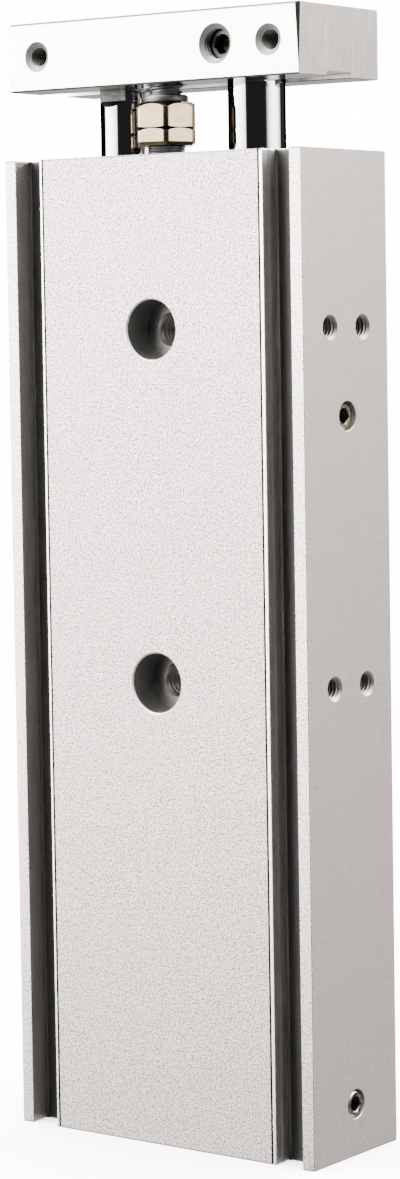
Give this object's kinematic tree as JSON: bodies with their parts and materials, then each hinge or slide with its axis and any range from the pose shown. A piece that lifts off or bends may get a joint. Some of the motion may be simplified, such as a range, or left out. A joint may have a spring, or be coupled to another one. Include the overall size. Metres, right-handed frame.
{
  "type": "pneumatic slide table",
  "caption": "Twin-rod air cylinder with a slotted flat body, an end plate across both rods and an adjustable stop bolt under the plate.",
  "frame": {"origin": "centre of the body's head-end face, on the floor under the middle of the body", "axes": "+Z along the stroke, towards the end plate; -Y is the front face with the two sensor grooves; +X is the side with the plugged ports"},
  "size_m": [0.064, 0.0254, 0.196],
  "materials": {
    "body_anodised": "bead-blasted, clear anodised",
    "plate_aluminium": "milled, bright, brushed ends",
    "cover_aluminium": "turned",
    "rod_chrome": "hard-chromed and ground",
    "nickel_steel": "nickel plated",
    "grey_steel": "turned, dull",
    "black_steel": "black oxide",
    "nitrile_rubber": "smooth",
    "urethane_rubber": "smooth",
    "stop_rubber": "glossy",
    "magnet_compound": "plastic-bonded magnet"
  },
  "bodies": {
    "body": {"housing": "body_anodised", "rod_cover_a": "cover_aluminium", "rod_cover_b": "cover_aluminium", "rod_cover_oring_a": "nitrile_rubber", "rod_cover_oring_b": "nitrile_rubber", "rod_seal_a": "nitrile_rubber", "rod_seal_b": "nitrile_rubber", "seal_retainer_a": "grey_steel", "seal_retainer_b": "grey_steel", "rod_retaining_ring_a": "black_steel", "rod_retaining_ring_b": "black_steel", "head_cover_a": "cover_aluminium", "head_cover_b": "cover_aluminium", "head_cover_oring_a": "nitrile_rubber", "head_cover_oring_b": "nitrile_rubber", "head_retaining_ring_a": "black_steel", "head_retaining_ring_b": "black_steel", "port_plug_upper": "nickel_steel", "port_plug_lower": "nickel_steel"},
    "stop": {"stop_bumper": "stop_rubber"},
    "carriage": {"end_plate": "plate_aluminium", "piston_rod_a": "rod_chrome", "piston_rod_b": "rod_chrome", "plate_cap_screw": "black_steel", "rod_lock_screw": "black_steel", "piston_a": "cover_aluminium", "piston_b": "cover_aluminium", "piston_seal_a": "nitrile_rubber", "piston_seal_b": "nitrile_rubber", "piston_magnet_a": "magnet_compound", "piston_magnet_b": "magnet_compound", "rod_end_bumper_a": "urethane_rubber", "rod_end_bumper_b": "urethane_rubber", "head_end_bumper_a": "urethane_rubber", "head_end_bumper_b": "urethane_rubber", "piston_screws": "black_steel"},
    "bolt": {"stop_bolt": "nickel_steel"},
    "washer": {"lock_washer": "grey_steel"},
    "nut": {"lock_nut": "nickel_steel"}
  },
  "joints": [
    {"name": "stroke", "type": "slide", "parent": "body", "child": "stop", "axis": [0, 0, 1], "range_m": [0, 0.1]},
    {"name": "stop_setting", "type": "slide", "parent": "stop", "child": "carriage", "axis": [0, 0, 1], "range_m": [0, 0.005]},
    {"name": "stop_bolt_turn", "type": "hinge", "parent": "stop", "child": "bolt", "pos_m": [0, -0.00735, 0.175], "axis": [0, 0, -1], "range_deg": [0, 1800]},
    {"name": "lock_nut_travel", "type": "slide", "parent": "carriage", "child": "washer", "axis": [0, 0, 1], "range_m": [0, 0.0012]},
    {"name": "lock_nut_turn", "type": "hinge", "parent": "washer", "child": "nut", "pos_m": [0, -0.00735, 0.179], "axis": [0, 0, 1], "range_deg": [0, 432]}
  ],
  "couplings": [
    {"joint": "stop_bolt_turn", "follows": "stop_setting", "rad_per_m": 6283.2},
    {"joint": "lock_nut_turn", "follows": "lock_nut_travel", "rad_per_m": 6283.2}
  ]
}
